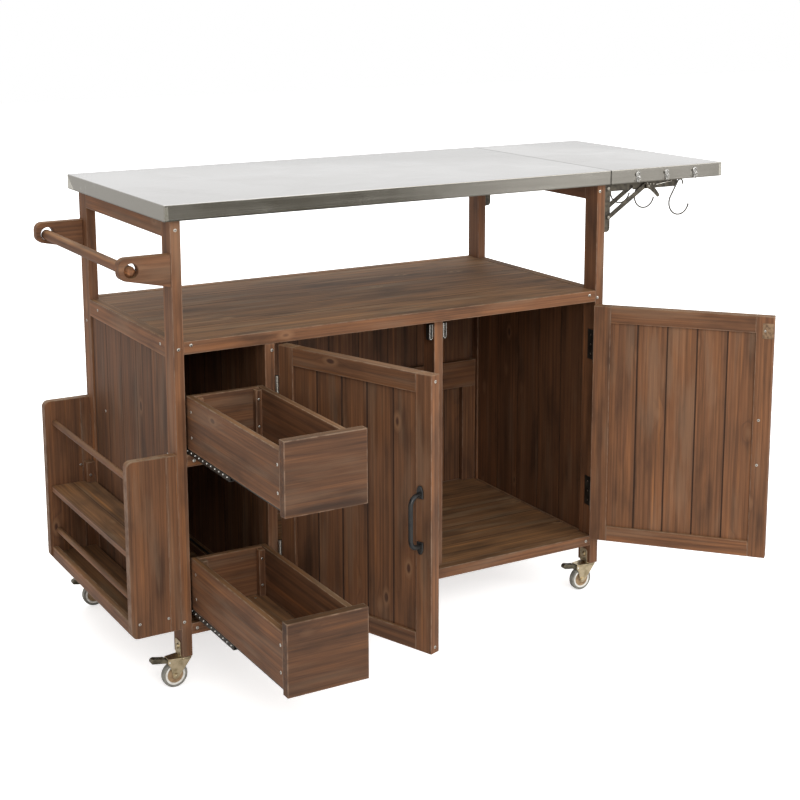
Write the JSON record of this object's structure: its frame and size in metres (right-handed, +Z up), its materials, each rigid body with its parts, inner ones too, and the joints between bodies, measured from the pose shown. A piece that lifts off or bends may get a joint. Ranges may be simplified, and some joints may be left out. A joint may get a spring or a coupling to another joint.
{
  "type": "outdoor kitchen cart",
  "caption": "Timber outdoor kitchen cart on braked casters, with a steel-clad worktop, drop flap, doors, drawers, open shelf, side rack and towel bar.",
  "frame": {"origin": "on the ground under the middle of the whole outline, as the cart stands with its flap up, its doors open and its drawers out", "axes": "+Z up, +X along the front from the rack to the flap, +Y from the front to the back"},
  "size_m": [1.3766, 0.922, 0.93],
  "materials": {
    "stained_timber": "open-grained softwood with a dark brown stain",
    "core_timber": "plain softwood under the steel",
    "brushed_steel": "satin, folded edges",
    "black_steel": "satin black",
    "zinc_plate": "golden zinc plating",
    "grey_tread": "matt grey tread on a hub",
    "chromed_wire": "bright",
    "dark_pedal": "dark satin"
  },
  "bodies": {
    "cabinet": {"worktop_skin": "brushed_steel", "worktop_core": "core_timber", "front_left_post": "stained_timber", "front_right_post": "stained_timber", "rear_left_post": "stained_timber", "rear_right_post": "stained_timber", "divider_post": "stained_timber", "mid_post": "stained_timber", "deck": "stained_timber", "floor": "stained_timber", "left_side_panel": "stained_timber", "right_side_panel": "stained_timber", "back_panel": "stained_timber", "divider_panel": "stained_timber", "rack_front_panel": "stained_timber", "rack_rear_panel": "stained_timber", "rack_shelf": "stained_timber", "rack_tray": "stained_timber", "rack_upper_dowel": "stained_timber", "rack_lower_dowel": "stained_timber", "front_towel_bracket": "stained_timber", "rear_towel_bracket": "stained_timber", "left_door_upper_hinge": "black_steel", "left_door_lower_hinge": "black_steel", "right_door_upper_hinge": "black_steel", "right_door_lower_hinge": "black_steel", "front_bracket_leg": "black_steel", "rear_bracket_leg": "black_steel"},
    "towel_bar": {"towel_bar": "stained_timber"},
    "left_door": {"left_door": "stained_timber", "left_door_handle": "black_steel"},
    "right_door": {"right_door": "stained_timber", "right_door_handle": "black_steel"},
    "upper_drawer": {"upper_drawer": "stained_timber"},
    "lower_drawer": {"lower_drawer": "stained_timber"},
    "flap": {"flap_skin": "brushed_steel", "flap_core": "core_timber", "front_bracket_arm": "black_steel", "rear_bracket_arm": "black_steel"},
    "front_strut": {"front_bracket_strut": "black_steel"},
    "rear_strut": {"rear_bracket_strut": "black_steel"},
    "front_hook": {"front_hook": "chromed_wire"},
    "middle_hook": {"middle_hook": "chromed_wire"},
    "rear_hook": {"rear_hook": "chromed_wire"},
    "upper_left_slide": {"upper_left_slide": "black_steel"},
    "upper_right_slide": {"upper_right_slide": "black_steel"},
    "lower_left_slide": {"lower_left_slide": "black_steel"},
    "lower_right_slide": {"lower_right_slide": "black_steel"},
    "front_left_fork": {"front_left_fork": "zinc_plate"},
    "front_left_wheel": {"front_left_wheel": "grey_tread"},
    "front_left_brake_pedal": {"front_left_brake_pedal": "dark_pedal"},
    "rear_left_fork": {"rear_left_fork": "zinc_plate"},
    "rear_left_wheel": {"rear_left_wheel": "grey_tread"},
    "rear_left_brake_pedal": {"rear_left_brake_pedal": "dark_pedal"},
    "front_right_fork": {"front_right_fork": "zinc_plate"},
    "front_right_wheel": {"front_right_wheel": "grey_tread"},
    "front_right_brake_pedal": {"front_right_brake_pedal": "dark_pedal"},
    "rear_right_fork": {"rear_right_fork": "zinc_plate"},
    "rear_right_wheel": {"rear_right_wheel": "grey_tread"},
    "rear_right_brake_pedal": {"rear_right_brake_pedal": "dark_pedal"}
  },
  "joints": [
    {"name": "left_door_swing", "type": "hinge", "parent": "cabinet", "child": "left_door", "pos_m": [-0.38525, -0.06, 0.384], "axis": [0, 0, -1], "range_deg": [-70.2, 21]},
    {"name": "right_door_swing", "type": "hinge", "parent": "cabinet", "child": "right_door", "pos_m": [0.36375, -0.06, 0.384], "axis": [0, 0, 1], "range_deg": [-131.5, 28]},
    {"name": "upper_drawer_slide", "type": "slide", "parent": "cabinet", "child": "upper_drawer", "axis": [0, 1, 0], "range_m": [0, 0.405]},
    {"name": "lower_drawer_slide", "type": "slide", "parent": "cabinet", "child": "lower_drawer", "axis": [0, 1, 0], "range_m": [0, 0.405]},
    {"name": "flap_fold", "type": "hinge", "parent": "cabinet", "child": "flap", "pos_m": [0.39675, 0.194, 0.8888], "axis": [0, 1, 0], "range_deg": [0, 90]},
    {"name": "front_strut_fold", "type": "hinge", "parent": "cabinet", "child": "front_strut", "pos_m": [0.39675, -0.035, 0.8276], "axis": [0, 1, 0], "range_deg": [0, 121.2]},
    {"name": "rear_strut_fold", "type": "hinge", "parent": "cabinet", "child": "rear_strut", "pos_m": [0.39675, 0.423, 0.8276], "axis": [0, 1, 0], "range_deg": [0, 121.2]},
    {"name": "towel_bar_roll", "type": "hinge", "parent": "cabinet", "child": "towel_bar", "pos_m": [-0.66475, 0.194, 0.8118], "axis": [0, 1, 0], "continuous": true},
    {"name": "upper_left_slide_run", "type": "slide", "parent": "cabinet", "child": "upper_left_slide", "axis": [0, 1, 0], "range_m": [0, 0.2025]},
    {"name": "upper_right_slide_run", "type": "slide", "parent": "cabinet", "child": "upper_right_slide", "axis": [0, 1, 0], "range_m": [0, 0.2025]},
    {"name": "lower_left_slide_run", "type": "slide", "parent": "cabinet", "child": "lower_left_slide", "axis": [0, 1, 0], "range_m": [0, 0.2025]},
    {"name": "lower_right_slide_run", "type": "slide", "parent": "cabinet", "child": "lower_right_slide", "axis": [0, 1, 0], "range_m": [0, 0.2025]},
    {"name": "front_hook_swing", "type": "hinge", "parent": "flap", "child": "front_hook", "pos_m": [0.57975, -0.064, 0.89145], "axis": [1, 0, 0], "range_deg": [-20, 3]},
    {"name": "middle_hook_swing", "type": "hinge", "parent": "flap", "child": "middle_hook", "pos_m": [0.57975, 0.054, 0.89145], "axis": [1, 0, 0], "range_deg": [-20, 20]},
    {"name": "rear_hook_swing", "type": "hinge", "parent": "flap", "child": "rear_hook", "pos_m": [0.57975, 0.14, 0.89145], "axis": [1, 0, 0], "range_deg": [-20, 20]},
    {"name": "front_left_swivel", "type": "hinge", "parent": "cabinet", "child": "front_left_fork", "pos_m": [-0.57975, -0.035, 0.062], "axis": [0, 0, 1], "continuous": true},
    {"name": "front_left_roll", "type": "hinge", "parent": "front_left_fork", "child": "front_left_wheel", "pos_m": [-0.59975, -0.035, 0.02528], "axis": [0, 1, 0], "continuous": true},
    {"name": "front_left_brake", "type": "hinge", "parent": "front_left_fork", "child": "front_left_brake_pedal", "pos_m": [-0.61175, -0.035, 0.0533], "axis": [0, -1, 0], "range_deg": [0, 12]},
    {"name": "rear_left_swivel", "type": "hinge", "parent": "cabinet", "child": "rear_left_fork", "pos_m": [-0.57975, 0.423, 0.062], "axis": [0, 0, 1], "continuous": true},
    {"name": "rear_left_roll", "type": "hinge", "parent": "rear_left_fork", "child": "rear_left_wheel", "pos_m": [-0.59975, 0.423, 0.02528], "axis": [0, 1, 0], "continuous": true},
    {"name": "rear_left_brake", "type": "hinge", "parent": "rear_left_fork", "child": "rear_left_brake_pedal", "pos_m": [-0.61175, 0.423, 0.0533], "axis": [0, -1, 0], "range_deg": [0, 12]},
    {"name": "front_right_swivel", "type": "hinge", "parent": "cabinet", "child": "front_right_fork", "pos_m": [0.37525, -0.035, 0.062], "axis": [0, 0, 1], "continuous": true},
    {"name": "front_right_roll", "type": "hinge", "parent": "front_right_fork", "child": "front_right_wheel", "pos_m": [0.35525, -0.035, 0.02528], "axis": [0, 1, 0], "continuous": true},
    {"name": "front_right_brake", "type": "hinge", "parent": "front_right_fork", "child": "front_right_brake_pedal", "pos_m": [0.34325, -0.035, 0.0533], "axis": [0, -1, 0], "range_deg": [0, 12]},
    {"name": "rear_right_swivel", "type": "hinge", "parent": "cabinet", "child": "rear_right_fork", "pos_m": [0.37525, 0.423, 0.062], "axis": [0, 0, 1], "continuous": true},
    {"name": "rear_right_roll", "type": "hinge", "parent": "rear_right_fork", "child": "rear_right_wheel", "pos_m": [0.35525, 0.423, 0.02528], "axis": [0, 1, 0], "continuous": true},
    {"name": "rear_right_brake", "type": "hinge", "parent": "rear_right_fork", "child": "rear_right_brake_pedal", "pos_m": [0.34325, 0.423, 0.0533], "axis": [0, -1, 0], "range_deg": [0, 12]}
  ],
  "couplings": [
    {"joint": "front_strut_fold", "follows": "flap_fold", "ratio": 1.344},
    {"joint": "rear_strut_fold", "follows": "flap_fold", "ratio": 1.344},
    {"joint": "upper_left_slide_run", "follows": "upper_drawer_slide", "ratio": 0.5},
    {"joint": "upper_right_slide_run", "follows": "upper_drawer_slide", "ratio": 0.5},
    {"joint": "lower_left_slide_run", "follows": "lower_drawer_slide", "ratio": 0.5},
    {"joint": "lower_right_slide_run", "follows": "lower_drawer_slide", "ratio": 0.5}
  ]
}
